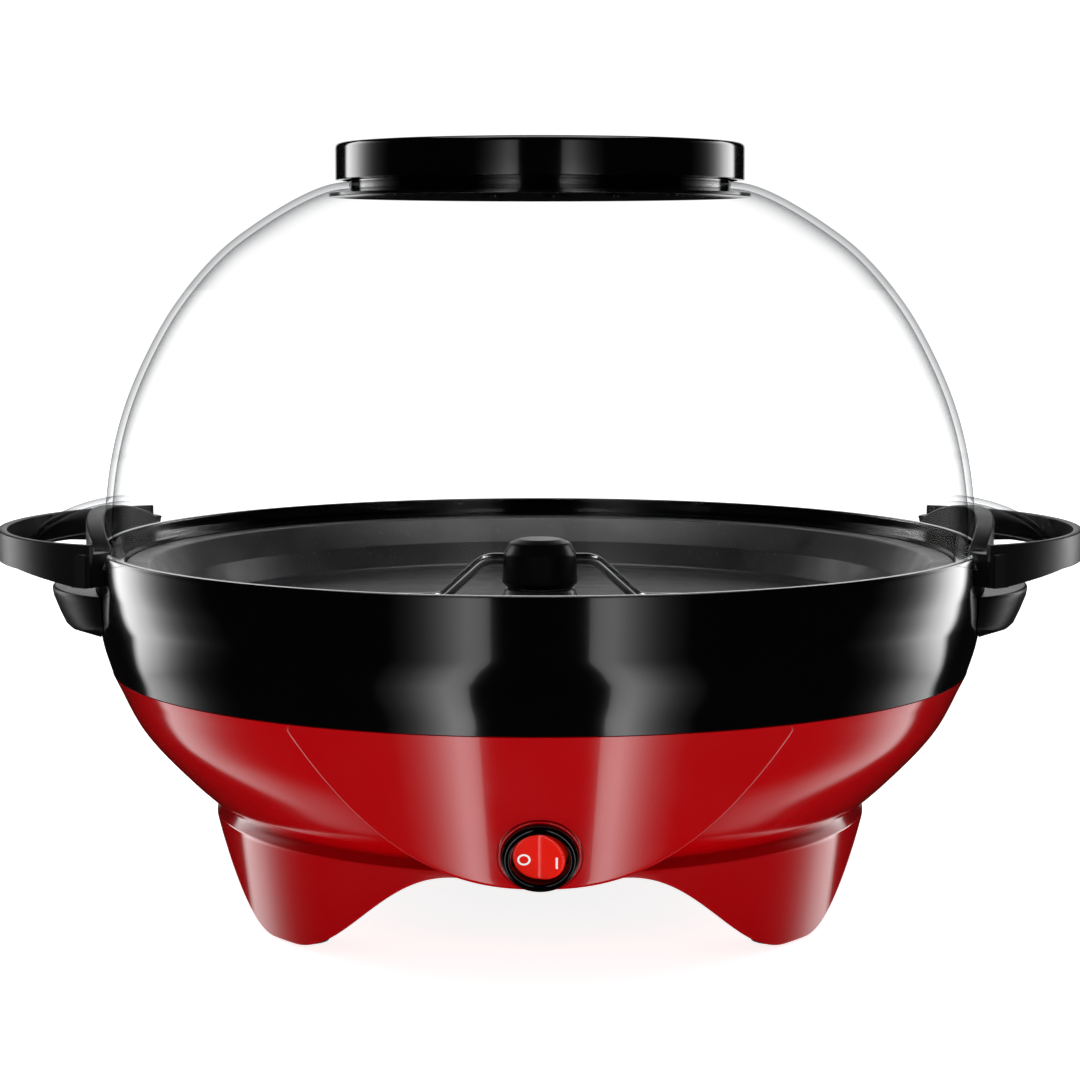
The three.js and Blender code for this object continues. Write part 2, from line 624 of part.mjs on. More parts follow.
const cap = () =>
  turned([
    [0, CAP_TOP - CAP_WALL], [CAP_RADIUS - CAP_WALL, CAP_TOP - CAP_WALL],
    [CAP_RADIUS - CAP_WALL, CAP_BOTTOM], [CAP_RADIUS, CAP_BOTTOM],
    [CAP_RADIUS, CAP_TOP - 1.8], [CAP_RADIUS - 0.6, CAP_TOP - 0.6], [CAP_RADIUS - 1.8, CAP_TOP], [0, CAP_TOP],
  ]);

// Assembly
const popcornMaker = new THREE.Group();

function put(name, part, material, [x, y, z] = [0, 0, 0]) {
  const { vertProperties, triVerts } = part.getMesh();
  const geometry = new THREE.BufferGeometry();
  geometry.setAttribute("position", new THREE.BufferAttribute(vertProperties, 3));
  geometry.setIndex(new THREE.BufferAttribute(triVerts, 1));
  const mesh = new THREE.Mesh(geometry, material);
  mesh.name = name;
  mesh.position.set(x, y, z);
  popcornMaker.add(mesh);
  return mesh;
}

put("base_shell", baseShell(), RED());
put("ring_housing", ringHousing(), GLOSS_BLACK());
put("base_handle_right", baseHandle(), SATIN_BLACK());
put("base_handle_left", baseHandle().mirror([1, 0, 0]), SATIN_BLACK());
put("cord_gland", cordGland(), SATIN_BLACK());
put("bottom_cover", bottomCover(), SATIN_BLACK());
coverScrewSpots.forEach(([x, y], i) => put(`cover_screw_${i + 1}`, coverScrew(), STEEL(), [x, y, 0]));
padSpots.forEach(([x, y], i) => put(`foot_pad_${i + 1}`, footPad(), RUBBER(), [x, y, 0]));

put("switch_body", switchBody(), GLOSS_BLACK());
put("rocker", rocker(), LENS_RED());

put("heating_plate", heatingPlate(), COATED());
put("shaft_bush", shaftBush(), NYLON());
put("reflector_pan", reflectorPan(), STEEL());
put("heating_element", heatingElement(), STEEL());
put("thermostat", thermostat(), STEEL(), [48, -12, 0]);
put("thermal_fuse", thermalFuse(), STEEL(), [-48, 0, PAN_FLOOR + 3]).rotation.x = Math.PI / 2;

put("motor_can", motorCan(), STEEL(), [0, MOTOR_OFFSET, 0]);
put("motor_cover", motorCover(), STEEL());
put("stator_coil", statorCoil(), COPPER(), [0, MOTOR_OFFSET, 0]);
put("rotor", rotor(), NYLON(), [0, MOTOR_OFFSET, 0]);
put("rotor_axle", rotorAxle(), STEEL(), [0, MOTOR_OFFSET, 0]);
put("idler_gears", idlerGears(), NYLON(), [IDLER_X, IDLER_Y, 0]);
put("idler_axle", idlerAxle(), STEEL(), [IDLER_X, IDLER_Y, 0]);
put("drive_shaft", driveShaft(), BRASS());
put("motor_bracket", motorBracket(), STEEL());
for (const [side, x] of [["left", -SPACER_X], ["right", SPACER_X]]) {
  put(`bracket_spacer_${side}`, spacer(), NYLON(), [x, 0, 0]);
  put(`bracket_bolt_${side}`, spacerBolt(), STEEL(), [x, 0, 0]);
}

put("stirrer_hub", stirrerHub(), SATIN_BLACK());
put("stirrer_rod", bentRod(ROD_RADIUS), STEEL());

put("dome", dome(), CLEAR());
put("bowl_handle_right", bowlHandle(), SATIN_BLACK());
put("bowl_handle_left", bowlHandle().mirror([1, 0, 0]), SATIN_BLACK());
put("vent_disc", ventDisc(), GLOSS_BLACK());
put("cap", cap(), GLOSS_BLACK());

export default popcornMaker;
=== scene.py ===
import math

import bmesh
import bpy
import numpy as np
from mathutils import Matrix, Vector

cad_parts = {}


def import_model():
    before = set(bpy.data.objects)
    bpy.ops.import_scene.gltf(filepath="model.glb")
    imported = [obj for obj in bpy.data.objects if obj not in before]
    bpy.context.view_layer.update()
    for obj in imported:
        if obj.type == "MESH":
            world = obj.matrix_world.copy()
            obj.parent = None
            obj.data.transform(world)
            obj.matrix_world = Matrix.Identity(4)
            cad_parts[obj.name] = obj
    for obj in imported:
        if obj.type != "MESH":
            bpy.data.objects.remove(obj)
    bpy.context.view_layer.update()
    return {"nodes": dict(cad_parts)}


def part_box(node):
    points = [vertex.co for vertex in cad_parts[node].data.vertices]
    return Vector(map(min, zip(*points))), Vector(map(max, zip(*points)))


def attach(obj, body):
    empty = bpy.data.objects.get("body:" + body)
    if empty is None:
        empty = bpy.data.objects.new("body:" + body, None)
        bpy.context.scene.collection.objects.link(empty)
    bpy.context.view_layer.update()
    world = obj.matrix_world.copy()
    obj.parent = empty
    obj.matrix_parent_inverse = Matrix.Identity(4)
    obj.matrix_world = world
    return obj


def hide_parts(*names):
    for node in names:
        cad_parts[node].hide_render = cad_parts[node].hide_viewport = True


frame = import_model()
nodes = frame["nodes"]

MM = 0.001
FULL_TURN = 2 * math.pi
WELD_DISTANCE = 0.004
SLIVER_LENGTH = 0.002


# ---------------------------------------------------------------- places taken from the frame
def low(node, axis):
    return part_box(node)[0][axis] / MM


def high(node, axis):
    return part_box(node)[1][axis] / MM


RING_TOP = high("ring_housing", 2)
RING_RADIUS = high("ring_housing", 0)
SEAM = high("base_shell", 2)
SEAM_RADIUS = high("base_shell", 0)
LEG_FLOOR = low("base_shell", 2)
DOME_RIM = low("dome", 2)
DOME_TOP = high("dome", 2)
CAP_RADIUS = high("cap", 0)
CAP_BOTTOM = low("cap", 2)
CAP_TOP = high("cap", 2)
WELL_FLOOR = low("vent_disc", 2)
WELL_RADIUS = high("vent_disc", 0)
COLLAR_TOP = high("vent_disc", 2)
BAND_TIP = high("bowl_handle_right", 0)
BRACKET_TOP = high("bowl_handle_right", 2)
BRACKET_BOTTOM = low("bowl_handle_right", 2)
PLATE_RADIUS = high("heating_plate", 0)
PLATE_RIM = high("heating_plate", 2)
HUB_TOP = high("stirrer_hub", 2)
HUB_BOTTOM = low("stirrer_hub", 2)


# ---------------------------------------------------------------- mesh tools
def make_piece(name, verts, faces, material, body, replaces=(), slot=None, crease=35):
    mesh = bpy.data.meshes.new(name)
    mesh.from_pydata([tuple(v) for v in np.asarray(verts, float) * MM], [], faces)
    mesh.validate()
    piece = bpy.data.objects.new(name, mesh)
    bpy.context.scene.collection.objects.link(piece)
    return dress(piece, material, body, replaces, crease)


def dress(piece, material, body, replaces=(), crease=35):
    mesh = piece.data
    mesh.materials.clear()
    mesh.materials.append(material)
    mesh.polygons.foreach_set("use_smooth", [True] * len(mesh.polygons))
    mesh.set_sharp_from_angle(angle=math.radians(crease))
    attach(piece, body)
    if replaces:
        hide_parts(*replaces)
    return piece


def grid(rows, wrap_rows=False, wrap_columns=True):
    """Vertices and quads of a grid of points, given as an array of rows x columns x 3."""
    rows = np.asarray(rows, float)
    count_r, count_c = rows.shape[:2]
    faces = []
    for r in range(count_r if wrap_rows else count_r - 1):
        for c in range(count_c if wrap_columns else count_c - 1):
            a = r * count_c + c
            b = r * count_c + (c + 1) % count_c
            d = ((r + 1) % count_r) * count_c + c
            e = ((r + 1) % count_r) * count_c + (c + 1) % count_c
            faces.append((a, b, e, d))
    return rows.reshape(-1, 3), faces


def revolve(profile, segments=192):
    """A solid of revolution about Z. The profile closes on itself, or starts and ends on the axis."""
    profile = [tuple(p) for p in profile]
    on_axis = profile[0][0] < 1e-6 and profile[-1][0] < 1e-6
    ring = profile[1:-1] if on_axis else profile
    turn = np.linspace(0, FULL_TURN, segments, endpoint=False)
    rows = np.array([[(r * math.sin(a), -r * math.cos(a), z) for a in turn] for r, z in ring])
    verts, faces = grid(rows, wrap_rows=not on_axis)
    if on_axis:
        last = (len(ring) - 1) * segments
        verts = np.vstack([verts, (0, 0, profile[0][1]), (0, 0, profile[-1][1])])
        first_pole, last_pole = len(verts) - 2, len(verts) - 1
        for s in range(segments):
            faces.append((first_pole, (s + 1) % segments, s))
            faces.append((last_pole, last + s, last + (s + 1) % segments))
    return outward(verts, faces)


def outward(verts, faces):
    """Turns all faces over where the closed mesh is inside out."""
    volume = 0.0
    for face in faces:
        a = verts[face[0]]
        for b, c in zip(face[1:-1], face[2:]):
            volume += np.dot(a, np.cross(verts[b], verts[c]))
    if volume < 0:
        faces = [tuple(reversed(f)) for f in faces]
    return verts, faces


def rounded(points, closed=True, steps=5):
    """Rounds the corners of an outline. Each point is (x, y) or (x, y, corner radius)."""
    count = len(points)
    result = []
    for i, point in enumerate(points):
        here = np.array(point[:2], float)
        radius = point[2] if len(point) > 2 else 0
        if radius == 0 or (not closed and i in (0, count - 1)):
            result.append(tuple(here))
            continue
        back = np.array(points[i - 1][:2], float) - here
        ahead = np.array(points[(i + 1) % count][:2], float) - here
        back_length, ahead_length = np.linalg.norm(back), np.linalg.norm(ahead)
        back, ahead = back / back_length, ahead / ahead_length
        half = math.acos(np.clip(np.dot(back, ahead), -1, 1)) / 2
        reach = min(radius / math.tan(half), 0.48 * back_length, 0.48 * ahead_length)
        start, end = here + back * reach, here + ahead * reach
        for k in range(steps + 1):
            t = k / steps
            result.append(tuple((1 - t) ** 2 * start + 2 * t * (1 - t) * here + t ** 2 * end))
    return result


def spline(points, count):
    """A smooth centripetal curve through the points, as count points."""
    points = np.asarray(points, float)
    ends = [2 * points[0] - points[1]], [2 * points[-1] - points[-2]]
    padded = np.vstack([ends[0], points, ends[1]])
    result = []
    for t in np.linspace(0, len(points) - 1, count):
        i = min(int(t), len(points) - 2)
        p0, p1, p2, p3 = padded[i:i + 4]
        u = t - i
        k = [0.0]
        for a, b in ((p0, p1), (p1, p2), (p2, p3)):
            k.append(k[-1] + np.linalg.norm(b - a) ** 0.5)
        s = k[1] + u * (k[2] - k[1])
        a1 = p0 + (p1 - p0) * (s - k[0]) / (k[1] - k[0])
        a2 = p1 + (p2 - p1) * (s - k[1]) / (k[2] - k[1])
        a3 = p2 + (p3 - p2) * (s - k[2]) / (k[3] - k[2])
        b1 = a1 + (a2 - a1) * (s - k[0]) / (k[2] - k[0])
        b2 = a2 + (a3 - a2) * (s - k[1]) / (k[3] - k[1])
        result.append(b1 + (b2 - b1) * (s - k[1]) / (k[2] - k[1]))
    return np.array(result)


def offset(outline, distance):
    """The outline moved to its left-hand side by a distance."""
    outline = np.asarray(outline, float)
    tangent = np.gradient(outline, axis=0)
    tangent /= np.linalg.norm(tangent, axis=1)[:, None]
    return outline + distance * np.column_stack([-tangent[:, 1], tangent[:, 0]])


def tube(path, radius, sides=20):
    """A closed round bar along a path of points."""
    path = np.asarray(path, float)
    tangent = np.gradient(path, axis=0)
    tangent /= np.linalg.norm(tangent, axis=1)[:, None]
    side = np.cross(tangent[0], (0.0, 1.0, 0.1))
    rows = []
    for point, along in zip(path, tangent):
        side = side - along * np.dot(side, along)
        side /= np.linalg.norm(side)
        other = np.cross(along, side)
        angle = np.linspace(0, FULL_TURN, sides, endpoint=False)
        rows.append([point + radius * (math.cos(a) * side + math.sin(a) * other) for a in angle])
    verts, faces = grid(rows)
    last = (len(path) - 1) * sides
    faces.append(tuple(range(sides)))
    faces.append(tuple(last + s for s in reversed(range(sides))))
    return outward(verts, faces)


def mirrored(solid):
    verts, faces = solid
    return verts * np.array([-1, 1, 1]), [tuple(reversed(f)) for f in faces]


def moved(solid, matrix, shift):
    verts, faces = solid
    return verts @ np.asarray(matrix, float).T + np.asarray(shift, float), faces


def scratch(solid):
    mesh = bpy.data.meshes.new("scratch")
    verts, faces = solid
    mesh.from_pydata([tuple(v) for v in verts], [], faces)
    piece = bpy.data.objects.new("scratch", mesh)
    bpy.context.scene.collection.objects.link(piece)
    return piece


def combine(solid, *steps):
    """Booleans: each step is ("UNION" | "DIFFERENCE", solid). Hairline slivers are welded away."""
    base = scratch(solid)
    tools = []
    for operation, other in steps:
        tool = scratch(other)
        modifier = base.modifiers.new(operation, "BOOLEAN")
        modifier.operation = operation
        modifier.solver = "EXACT"
        modifier.object = tool
        tools.append(tool)
    result = bmesh.new()
    result.from_mesh(base.evaluated_get(bpy.context.evaluated_depsgraph_get()).to_mesh())
    bmesh.ops.remove_doubles(result, verts=result.verts, dist=WELD_DISTANCE)
    bmesh.ops.dissolve_degenerate(result, edges=result.edges, dist=SLIVER_LENGTH)
    result.verts.index_update()
    verts = np.array([v.co[:] for v in result.verts])
    faces = [tuple(v.index for v in f.verts) for f in result.faces]
    result.free()
    for piece in (base, *tools):
        mesh = piece.data
        bpy.data.objects.remove(piece)
        bpy.data.meshes.remove(mesh)
    return verts, faces


# ---------------------------------------------------------------- materials
def new_material(name):
    material = bpy.data.materials.new(name)
    material.use_nodes = True
    tree = material.node_tree
    return material, tree, tree.nodes["Principled BSDF"]


def add_node(tree, kind, **values):
    node = tree.nodes.new(kind)
    for key, value in values.items():
        if key in node.inputs:
            node.inputs[key].default_value = value
        else:
            setattr(node, key, value)
    return node


def noise(tree, scale, detail=2.0, stretch=(1, 1, 1)):
    place = add_node(tree, "ShaderNodeTexCoord")
    mapping = add_node(tree, "ShaderNodeMapping")
    mapping.inputs["Scale"].default_value = stretch
    texture = add_node(tree, "ShaderNodeTexNoise", Scale=scale, Detail=detail)
    tree.links.new(place.outputs["Object"], mapping.inputs["Vector"])
    tree.links.new(mapping.outputs["Vector"], texture.inputs["Vector"])
    return texture.outputs["Fac"]


def ramp(tree, factor, low_value, high_value, start=0.3, end=0.7):
    """Maps a factor to a number between two values."""
    node = add_node(tree, "ShaderNodeMapRange")
    node.inputs["From Min"].default_value = start
    node.inputs["From Max"].default_value = end
    node.inputs["To Min"].default_value = low_value
    node.inputs["To Max"].default_value = high_value
    tree.links.new(factor, node.inputs["Value"])
    return node.outputs["Result"]


def blend_colours(tree, factor, first, second):
    node = add_node(tree, "ShaderNodeMix", data_type="RGBA")
    node.inputs["A"].default_value = (*first, 1)
    node.inputs["B"].default_value = (*second, 1)
    tree.links.new(factor, node.inputs["Factor"])
    return node.outputs["Result"]


def bump(tree, shader, height, strength, distance):
    node = add_node(tree, "ShaderNodeBump", Strength=strength, Distance=distance)
    tree.links.new(height, node.inputs["Height"])
    tree.links.new(node.outputs["Normal"], shader.inputs["Normal"])


def plastic(name, dark, light, rough_low, rough_high, grain=0.0, grain_scale=2500, coat=0.0):
    """Moulded plastic: slow colour drift, uneven polish, and a fine moulded grain."""
    material, tree, shader = new_material(name)
    drift = noise(tree, 18)
    tree.links.new(blend_colours(tree, drift, dark, light), shader.inputs["Base Color"])
    polish = noise(tree, 60, 4)
    tree.links.new(ramp(tree, polish, rough_low, rough_high), shader.inputs["Roughness"])
    if grain:
        bump(tree, shader, noise(tree, grain_scale, 3), grain, 0.0002)
    shader.inputs["Coat Weight"].default_value = coat
    shader.inputs["Coat Roughness"].default_value = 0.03
    return material


def metal(name, dark, light, rough_low, rough_high, stretch=(1, 1, 1), scale=400, strength=0.15):
    material, tree, shader = new_material(name)
    shader.inputs["Metallic"].default_value = 1.0
    lines = noise(tree, scale, 3, stretch)
    tree.links.new(blend_colours(tree, lines, dark, light), shader.inputs["Base Color"])
    tree.links.new(ramp(tree, noise(tree, 40, 3), rough_low, rough_high), shader.inputs["Roughness"])
    bump(tree, shader, lines, strength, 0.0001)
    return material


def coated_plate():
    """Dark non-stick coating with pale flecks."""
    material, tree, shader = new_material("nonstick_coating")
    flecks = ramp(tree, noise(tree, 1400, 1), 0, 1, 0.72, 0.76)
    colour = blend_colours(tree, flecks, (0.018, 0.018, 0.02), (0.12, 0.12, 0.125))
    tree.links.new(colour, shader.inputs["Base Color"])
    tree.links.new(ramp(tree, noise(tree, 90, 4), 0.28, 0.42), shader.inputs["Roughness"])
    bump(tree, shader, noise(tree, 1800, 3), 0.25, 0.0001)
    return material


def clear_plastic():
    """Thin clear wall: seen through, darker and with more of a mirror sheen at the grazing edge."""
    material, tree, shader = new_material("clear_polycarbonate")
    tree.nodes.remove(shader)
    through = add_node(tree, "ShaderNodeBsdfTransparent")
    facing = add_node(tree, "ShaderNodeLayerWeight", Blend=0.5)
    edge = ramp(tree, facing.outputs["Facing"], 0, 1, 0.68, 1.0)
    rim = add_node(tree, "ShaderNodeMath", operation="POWER")
    tree.links.new(edge, rim.inputs[0])
    rim.inputs[1].default_value = 2
    tint = blend_colours(tree, rim.outputs["Value"], (0.999, 0.999, 0.999), (0.4, 0.41, 0.42))
    tree.links.new(tint, through.inputs["Color"])
    sheen = add_node(tree, "ShaderNodeBsdfGlossy")
    tree.links.new(ramp(tree, noise(tree, 25, 3), 0.015, 0.04), sheen.inputs["Roughness"])
    share = ramp(tree, facing.outputs["Facing"], 0.006, 0.12, 0.78, 1.0)
    mix = add_node(tree, "ShaderNodeMixShader")
    tree.links.new(share, mix.inputs["Fac"])
    tree.links.new(through.outputs["BSDF"], mix.inputs[1])
    tree.links.new(sheen.outputs["BSDF"], mix.inputs[2])
    tree.links.new(mix.outputs["Shader"], tree.nodes["Material Output"].inputs["Surface"])
    return material


def lens_plastic():
    """Red translucent rocker, with a faint painted glow in place of light coming through it from behind."""
    material = plastic("lens_red", (0.55, 0.004, 0.002), (0.66, 0.008, 0.003), 0.1, 0.18, 0.03, 900)
    shader = material.node_tree.nodes["Principled BSDF"]
    shader.inputs["Subsurface Weight"].default_value = 0.2
    shader.inputs["Subsurface Radius"].default_value = (0.004, 0.0006, 0.0003)
    # painted glow: a faint red emission stands in for light coming through the rocker from behind
    shader.inputs["Emission Color"].default_value = (1.0, 0.02, 0.0, 1)
    shader.inputs["Emission Strength"].default_value = 0.1
    return material


def wound_copper():
    """Fine turns of wire round the coil."""
    material, tree, shader = new_material("copper_winding")
    wave = add_node(tree, "ShaderNodeTexWave", Scale=900.0, Distortion=0.4, bands_direction="Z")
    place = add_node(tree, "ShaderNodeTexCoord")
    tree.links.new(place.outputs["Object"], wave.inputs["Vector"])
    colour = blend_colours(tree, wave.outputs["Fac"], (0.2, 0.06, 0.025), (0.62, 0.25, 0.12))
    tree.links.new(colour, shader.inputs["Base Color"])
    shader.inputs["Metallic"].default_value = 0.8
    tree.links.new(ramp(tree, noise(tree, 80), 0.3, 0.45), shader.inputs["Roughness"])
    bump(tree, shader, wave.outputs["Fac"], 0.5, 0.0002)
    return material


RED = plastic("gloss_red", (0.345, 0.0, 0.001), (0.375, 0.0, 0.002), 0.1, 0.14, 0.004, 500, coat=0.6)
BLACK = plastic("gloss_black", (0.0005, 0.0005, 0.0006), (0.0009, 0.0009, 0.001), 0.08, 0.11,
                0.004, 500, coat=0.3)
SATIN = plastic("satin_black", (0.0025, 0.0025, 0.0027), (0.005, 0.005, 0.0053), 0.3, 0.38, 0.2, 3000)
MATTE = plastic("moulded_black", (0.012, 0.012, 0.012), (0.02, 0.02, 0.02), 0.45, 0.58, 0.35, 2200)
RUBBER = plastic("pad_rubber", (0.014, 0.014, 0.014), (0.026, 0.026, 0.025), 0.7, 0.88, 0.4, 1600)
NYLON = plastic("natural_nylon", (0.72, 0.69, 0.6), (0.8, 0.78, 0.7), 0.4, 0.55, 0.15, 1500)
MARKS = plastic("printed_white", (0.8, 0.8, 0.8), (0.9, 0.9, 0.9), 0.35, 0.45, 0.05, 2000)
DARK_SATIN = plastic("dark_satin_black", (0.0015, 0.0015, 0.0016), (0.003, 0.003, 0.0032), 0.26, 0.34,
                     0.2, 3000)
SATIN.node_tree.nodes["Principled BSDF"].inputs["Specular IOR Level"].default_value = 0.2
DARK_SATIN.node_tree.nodes["Principled BSDF"].inputs["Specular IOR Level"].default_value = 0.1
LENS = lens_plastic()
CLEAR = clear_plastic()
COATING = coated_plate()
STEEL = metal("plain_steel", (0.42, 0.43, 0.44), (0.6, 0.61, 0.62), 0.28, 0.4, (1, 1, 12))
POLISHED = metal("polished_steel", (0.62, 0.63, 0.64), (0.72, 0.72, 0.73), 0.12, 0.2, (12, 1, 1), 300, 0.05)
BRASS = metal("turned_brass", (0.5, 0.34, 0.12), (0.68, 0.48, 0.2), 0.22, 0.35, (1, 1, 25), 300)
COPPER = wound_copper()


# ---------------------------------------------------------------- base
FINE = 256
SHELL_WALL = 2.5
BOWL_OUTLINE = [(66, 27.5), (92, 28.8), (109.5, 36.9), (124.8, 50.6), (136.4, 64.2), (143.4, 77.9),
                (SEAM_RADIUS, SEAM)]
LEG_TOP = 31.9
LEDGE_TOP = 34.6
LEG_FOOT_RADIUS = 107
LEG_TOP_RADIUS = 111
ARCH_HEIGHT = 30.3
FOOT_FLAT = (47.5, 53.5)
ARCH_SWEEP = (34, 28)
PAD_CIRCLE = 97.5
PAD_ANGLES = (40, 140, 220, 320)

APRON_LOW = 32.5
APRON_HALF_WIDTH = 77
APRON_RADIUS = 127.5
APRON_SLOPE = 0.3616
APRON_CURVE = 2.4
APRON_EDGE = 1.1
APRON_DEPTH = 4.5

SWITCH_HEIGHT = 43.7
SWITCH_TILT = math.atan(APRON_SLOPE)
SWITCH_RADIUS = APRON_RADIUS + APRON_SLOPE * (SWITCH_HEIGHT - APRON_LOW)


def on_apron(solid):
    """Moves a solid made round +Z at the origin on to the apron, with +Z facing out."""
    turn = math.pi / 2 + SWITCH_TILT
    matrix = [[1, 0, 0], [0, math.cos(turn), -math.sin(turn)], [0, math.sin(turn), math.cos(turn)]]
    return moved(solid, matrix, (0, -SWITCH_RADIUS, SWITCH_HEIGHT))


def bowl_wall():
    outer = spline(BOWL_OUTLINE, 60)
    inner = offset(outer, SHELL_WALL)[::-1]
    return revolve([*outer, *inner], FINE)


def arch_height(angle):
    """Height of the skirt's lower edge at an angle from the front or back, in degrees."""
    if angle < FOOT_FLAT[0]:
        rise = (FOOT_FLAT[0] - angle) / ARCH_SWEEP[0]
    else:
        rise = max(angle - FOOT_FLAT[1], 0) / ARCH_SWEEP[1]
    return LEG_FLOOR + ARCH_HEIGHT * (1 - math.cos(math.pi * min(rise, 1))) / 2


def leg_skirt():
    """A conical skirt whose rounded lower edge rises in four arches."""
    sections = []
    for angle in np.linspace(0, FULL_TURN, 360, endpoint=False):
        x, y = math.sin(angle), -math.cos(angle)
        z = arch_height(math.degrees(math.atan2(abs(x), abs(y))))
        spread = (z - LEG_FLOOR) / (LEG_TOP - LEG_FLOOR)
        foot = LEG_FOOT_RADIUS + (LEG_TOP_RADIUS - LEG_FOOT_RADIUS) * spread
        edge = min(0.8, (LEG_TOP - z) * 0.4 + 0.01)
        loop = rounded([(foot, z, edge), (LEG_TOP_RADIUS, LEG_TOP), (LEG_TOP_RADIUS, LEDGE_TOP - 1.2, 0.5),
                        (108.8, LEDGE_TOP), (107.4, LEDGE_TOP + 1.4), (104, LEDGE_TOP + 1.2), (103, LEG_TOP),
                        (LEG_TOP_RADIUS - SHELL_WALL, LEG_TOP), (foot - SHELL_WALL, z, edge)])
        sections.append([(r * x, r * y, height) for r, height in loop])
    return outward(*grid(sections, wrap_rows=True))


def apron():
    """The raised bib on the front of the bowl: a cone patch with a rolled edge."""
    roll = [(APRON_EDGE * (1 - math.sin(a)), APRON_EDGE * (1 - math.cos(a)))
            for a in np.linspace(0, math.pi / 2, 7)]
    front = [(APRON_EDGE, 0, t) for t in np.linspace(1, 0.04, 24)]
    wall = [(margin, depth, 0) for margin, depth in roll]
    back = [(0, APRON_DEPTH, t) for t in np.linspace(0, 1, 12)]
    sections = []
    for s in np.linspace(-0.985, 0.985, 121):
        loop = []
        for margin, depth, t in [*front, *wall, *back]:
            half = APRON_HALF_WIDTH - margin
            lowest = APRON_LOW + margin
            z = lowest + (SEAM - lowest) * abs(s) ** APRON_CURVE
            z += (SEAM - z) * t
            x = half * s
            radius = APRON_RADIUS + APRON_SLOPE * (z - APRON_LOW) - depth
            loop.append((x, -math.sqrt(radius ** 2 - x ** 2), z))
        sections.append(loop)
    verts, faces = grid(sections)
    count = len(sections[0])
    last = len(verts) - count
    faces.append(tuple(range(count)))
    faces.append(tuple(last + i for i in reversed(range(count))))
    return outward(verts, faces)


def foot_places():
    for angle in PAD_ANGLES:
        yield PAD_CIRCLE * math.cos(math.radians(angle)), PAD_CIRCLE * math.sin(math.radians(angle))


def base_shell():
    post = revolve([(0, 4), (8, 4), (8, 30.5), (0, 30.5)], 48)
    solids = [("UNION", leg_skirt()), ("UNION", apron())]
    solids += [("UNION", moved(post, np.eye(3), (x, y, 0))) for x, y in foot_places()]
    recess = revolve(rounded([(0, -1.1), (12.9, -1.1, 0.3), (12.9, 6), (0, 6)], False), 96)
    bore = revolve([(0, -12), (10.1, -12), (10.1, 6), (0, 6)], 64)
    solids += [("DIFFERENCE", on_apron(recess)), ("DIFFERENCE", on_apron(bore))]
    shell = combine(bowl_wall(), *solids)
    weight_normals(make_piece("base_body", *shell, RED, "base", ["base_shell"], "red_gloss", 28))
    lip = rounded([(11.6, -1.2), (12.4, -1.2), (12.4, 0.35, 0.35), (11.6, 0.35, 0.35)])
    make_piece("switch_lip", *on_apron(revolve(lip, 128)), RED, "base", (), "red_gloss")


def weight_normals(piece):
    modifier = piece.modifiers.new("weighted", "WEIGHTED_NORMAL")
    modifier.keep_sharp = True
    modifier.weight = 80


GLAND_HEIGHT = 100
GLAND_SEAT = 143.5
RING_FACE = [(145.4, SEAM + 0.3), (148.2, 91.5), (149.8, 101.5), (150.3, 111), (RING_RADIUS, 122.5)]
RING_INSIDE = [
    (RING_RADIUS, RING_TOP, 0.9), (147.6, RING_TOP, 0.7), (147.6, 119.2), (141, 119.2), (141, 115),
    (134, 115), (134, 112.5), (147.3, 112.5), (147, 105.2), (145.5, 91.5), (139.6, 84), (137, 77),
    (138.8, 77), (141.2, SEAM + 0.3)]


def sideways(solid):
    """Lays a solid made round +Z along +Y at the gland's height."""
    return moved(solid, [[1, 0, 0], [0, 0, 1], [0, -1, 0]], (0, 0, GLAND_HEIGHT))


def ring_housing():
    boss = sideways(revolve([(0, 140.5), (14, 140.5), (14, 146), (0, 146)], 64))
    pocket_profile = rounded([(0, GLAND_SEAT), (11, GLAND_SEAT, 0.6), (11, 160), (0, 160)], False)
    pocket = sideways(revolve(pocket_profile, 64))
    hole = sideways(revolve([(0, 130), (6.3, 130), (6.3, 160), (0, 160)], 48))
    face = [tuple(p) for p in spline(RING_FACE, 48)]
    ring = combine(revolve(rounded([*face, *RING_INSIDE]), FINE),
                   ("UNION", boss), ("DIFFERENCE", pocket), ("DIFFERENCE", hole))
    weight_normals(make_piece("ring", *ring, BLACK, "base", ["ring_housing"], "black_gloss", 28))


BASE_HANDLE_CENTRE = 130
BASE_HANDLE_HALF_WIDTH = 50
BASE_HANDLE_TOP = 109.8
BASE_HANDLE_SWEEP = 74
BASE_HANDLE_RISE = 0.4


